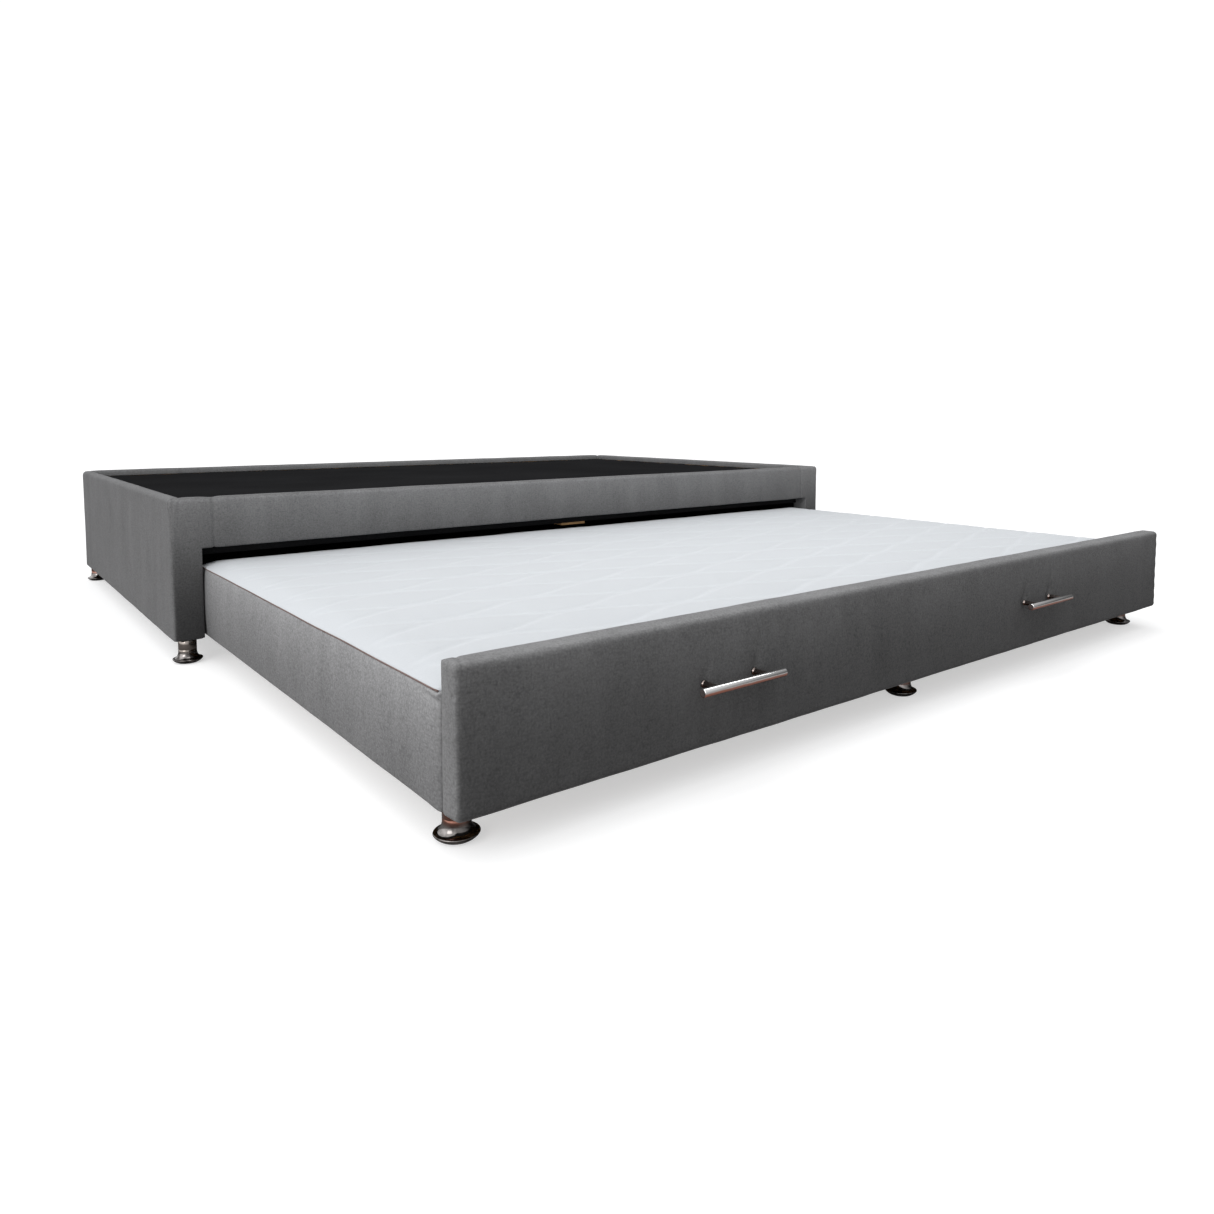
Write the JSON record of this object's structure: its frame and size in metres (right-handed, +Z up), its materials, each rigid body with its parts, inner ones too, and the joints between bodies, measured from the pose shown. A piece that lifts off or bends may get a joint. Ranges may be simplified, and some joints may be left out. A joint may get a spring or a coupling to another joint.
{
  "type": "trundle bed",
  "caption": "Upholstered bed base on turned metal feet with a quilted lower bed that rolls out from under it by bar handles.",
  "frame": {"origin": "middle of the footprint on the floor, with the lower bed rolled out", "axes": "+X along the bed, +Y towards the upper base's back, away from the side where the lower bed comes out, +Z up"},
  "size_m": [1.95, 2.378, 0.336],
  "materials": {
    "base_fabric": "short-pile grey upholstery fabric",
    "skirt_fabric": "coarser woven grey fabric",
    "white_quilting": "white quilted ticking",
    "black_lining": "black non-woven lining",
    "timber": "planed pine, unfinished",
    "plywood": "plywood sheet, unfinished",
    "foam": "upholstery foam",
    "chrome": "bright chrome plating",
    "zinc_steel": "zinc-plated pressed steel",
    "wheel_nylon": "dark grey nylon"
  },
  "bodies": {
    "base": {"left_end_board": "timber", "right_end_board": "timber", "back_board": "timber", "front_rail_board": "timber", "front_left_post": "timber", "front_right_post": "timber", "back_left_post": "timber", "back_right_post": "timber", "left_deck_cleat": "timber", "right_deck_cleat": "timber", "front_deck_cleat": "timber", "back_deck_cleat": "timber", "left_joist": "timber", "centre_joist": "timber", "right_joist": "timber", "deck_board": "plywood", "deck_lining": "black_lining", "left_end_cover": "base_fabric", "right_end_cover": "base_fabric", "back_cover": "base_fabric", "front_rail_cover": "base_fabric", "front_left_post_cover": "base_fabric", "front_right_post_cover": "base_fabric", "front_left_foot": "chrome", "front_right_foot": "chrome", "back_left_foot": "chrome", "back_right_foot": "chrome"},
    "trundle": {"trundle_front_rail": "timber", "trundle_back_rail": "timber", "trundle_left_rail": "timber", "trundle_right_rail": "timber", "trundle_left_beam": "timber", "trundle_middle_beam": "timber", "trundle_right_beam": "timber", "trundle_deck": "plywood", "trundle_foam": "foam", "quilted_top": "white_quilting", "left_skirt": "skirt_fabric", "right_skirt": "skirt_fabric", "back_skirt": "skirt_fabric", "front_panel_board": "timber", "front_panel_cover": "base_fabric", "left_handle_bar": "chrome", "left_handle_inner_post": "chrome", "left_handle_outer_post": "chrome", "right_handle_bar": "chrome", "right_handle_inner_post": "chrome", "right_handle_outer_post": "chrome", "trundle_left_foot": "chrome", "trundle_middle_foot": "chrome", "trundle_right_foot": "chrome", "left_caster_bracket": "zinc_steel", "middle_caster_bracket": "zinc_steel", "right_caster_bracket": "zinc_steel", "left_axle": "zinc_steel", "middle_axle": "zinc_steel", "right_axle": "zinc_steel"},
    "left_wheel": {"left_wheel": "wheel_nylon"},
    "middle_wheel": {"middle_wheel": "wheel_nylon"},
    "right_wheel": {"right_wheel": "wheel_nylon"}
  },
  "joints": [
    {"name": "trundle_slide", "type": "slide", "parent": "base", "child": "trundle", "axis": [0, 1, 0], "range_m": [0, 1.092]},
    {"name": "left_wheel_spin", "type": "hinge", "parent": "trundle", "child": "left_wheel", "pos_m": [-0.7, -0.106, 0.025], "axis": [1, 0, 0], "continuous": true},
    {"name": "middle_wheel_spin", "type": "hinge", "parent": "trundle", "child": "middle_wheel", "pos_m": [0, -0.106, 0.025], "axis": [1, 0, 0], "continuous": true},
    {"name": "right_wheel_spin", "type": "hinge", "parent": "trundle", "child": "right_wheel", "pos_m": [0.7, -0.106, 0.025], "axis": [1, 0, 0], "continuous": true}
  ],
  "couplings": [
    {"joint": "left_wheel_spin", "follows": "trundle_slide", "rad_per_m": -40},
    {"joint": "middle_wheel_spin", "follows": "trundle_slide", "rad_per_m": -40},
    {"joint": "right_wheel_spin", "follows": "trundle_slide", "rad_per_m": -40}
  ]
}
